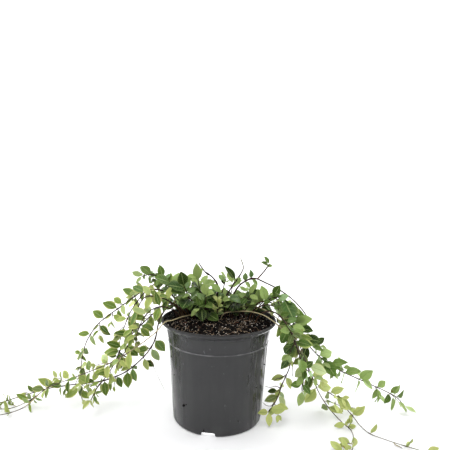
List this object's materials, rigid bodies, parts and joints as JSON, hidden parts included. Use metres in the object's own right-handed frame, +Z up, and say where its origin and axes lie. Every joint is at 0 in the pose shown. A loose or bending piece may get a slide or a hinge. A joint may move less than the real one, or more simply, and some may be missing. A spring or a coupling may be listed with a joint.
{
  "type": "potted periwinkle",
  "caption": "Trailing lesser periwinkle in a dark grey nursery pot, its leafy stems hanging over the rim down to the ground.",
  "frame": {"origin": "on the ground, at the centre of the pot's underside", "axes": "+Z up along the pot's axis, X along the plant's widest spread with +X to the right as seen from the front, +Y to the back"},
  "size_m": [0.6672, 0.2522, 0.2361],
  "materials": {
    "pot_plastic": "satin",
    "compost": "matte",
    "foliage": "satin",
    "light_foliage": "satin",
    "bare_wood": "matte"
  },
  "bodies": {
    "root": {"pot": "pot_plastic", "soil": "compost", "stem_left_long": "light_foliage", "stem_left_runner": "light_foliage", "stem_left_arch": "light_foliage", "stem_left_upper": "light_foliage", "stem_left_mid": "light_foliage", "stem_left_thin": "light_foliage", "stem_left_top": "light_foliage", "stem_left_front": "light_foliage", "stem_right_long": "foliage", "stem_right_runner": "foliage", "stem_right_side": "foliage", "stem_right_inner": "foliage", "stem_right_front": "foliage", "stem_right_arch": "foliage", "stem_crown_left": "foliage", "stem_crown_tall": "foliage", "stem_crown_centre": "foliage", "stem_crown_right": "foliage", "stem_crown_low_left": "foliage", "stem_crown_low_middle": "foliage", "stem_crown_low_right": "foliage", "stem_crown_fill_right": "foliage", "stem_crown_fill_left": "foliage", "stem_crown_far_left": "foliage", "stem_crown_far_right": "foliage", "stem_crown_spike": "foliage", "stem_crown_narrow": "foliage", "stem_crown_young": "light_foliage", "stem_crown_edge": "foliage", "stem_bare_twig": "bare_wood", "stem_back_left": "foliage", "stem_back_middle": "foliage", "stem_back_right": "foliage", "stem_back_crown": "foliage", "stem_back_shoot": "foliage"}
  },
  "joints": []
}
